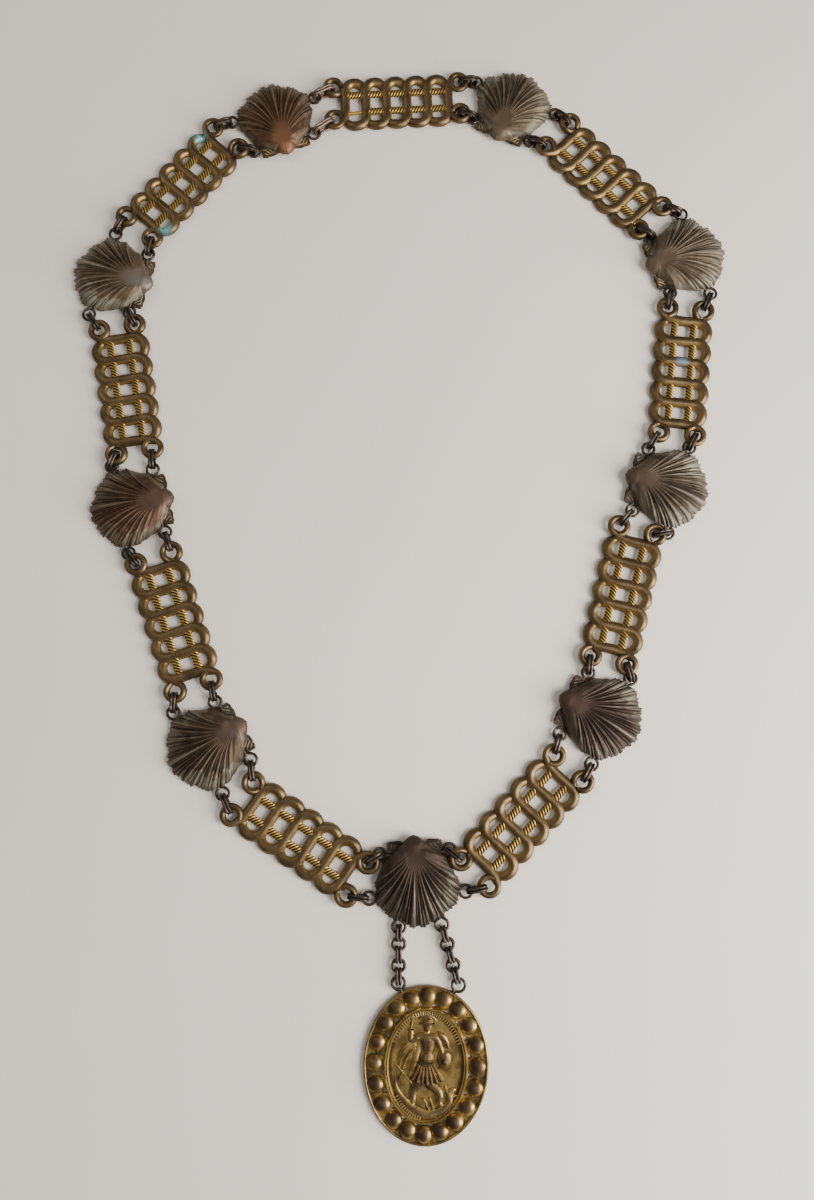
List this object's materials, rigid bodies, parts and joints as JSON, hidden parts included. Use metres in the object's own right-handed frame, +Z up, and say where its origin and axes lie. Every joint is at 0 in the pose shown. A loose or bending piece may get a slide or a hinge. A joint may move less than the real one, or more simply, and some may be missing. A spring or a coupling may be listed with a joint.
{
  "type": "medallion collar",
  "caption": "Ceremonial collar of alternating scallop shells and pierced knotwork plates joined by paired links, with an oval medallion on short chains",
  "frame": {"origin": "Centre of the bounding box, at the surface that the collar lies on", "axes": "+Z up; -Y points from the loop towards the hanging medallion, +Y to the back of the neck; +X to the right as pictured"},
  "size_m": [0.2856, 0.4552, 0.0076],
  "materials": {
    "shell_bronze": "dark patinated bronze, worn on the high parts",
    "plate_brass": "brown patinated brass with rubbed golden ridges",
    "link_wire": "blackened drawn wire",
    "copper_wire": "dull copper wire",
    "medallion_brass": "old gold brass, dark in its recesses"
  },
  "bodies": {
    "root": {"shell_0": "shell_bronze", "shell_1": "shell_bronze", "shell_2": "shell_bronze", "shell_3": "shell_bronze", "shell_4": "shell_bronze", "shell_5": "shell_bronze", "shell_6": "shell_bronze", "shell_7": "shell_bronze", "shell_8": "shell_bronze", "knot_plate_0": "plate_brass", "knot_plate_1": "plate_brass", "knot_plate_2": "plate_brass", "knot_plate_3": "plate_brass", "knot_plate_4": "plate_brass", "knot_plate_5": "plate_brass", "knot_plate_6": "plate_brass", "knot_plate_7": "plate_brass", "knot_plate_8": "plate_brass", "link_0": "link_wire", "link_1": "link_wire", "link_2": "link_wire", "link_3": "link_wire", "link_4": "link_wire", "link_5": "link_wire", "link_6": "link_wire", "link_7": "link_wire", "link_8": "link_wire", "link_9": "link_wire", "link_10": "link_wire", "link_11": "link_wire", "link_12": "link_wire", "link_13": "link_wire", "link_14": "link_wire", "link_15": "link_wire", "link_16": "copper_wire", "link_17": "copper_wire", "link_18": "link_wire", "link_19": "link_wire", "link_20": "link_wire", "link_21": "link_wire", "link_22": "link_wire", "link_23": "link_wire", "link_24": "link_wire", "link_25": "link_wire", "link_26": "link_wire", "link_27": "link_wire", "link_28": "link_wire", "link_29": "link_wire", "link_30": "link_wire", "link_31": "link_wire", "link_32": "link_wire", "link_33": "link_wire", "link_34": "link_wire", "link_35": "link_wire", "chain_left": "link_wire", "chain_right": "link_wire", "medallion": "medallion_brass"}
  },
  "joints": []
}
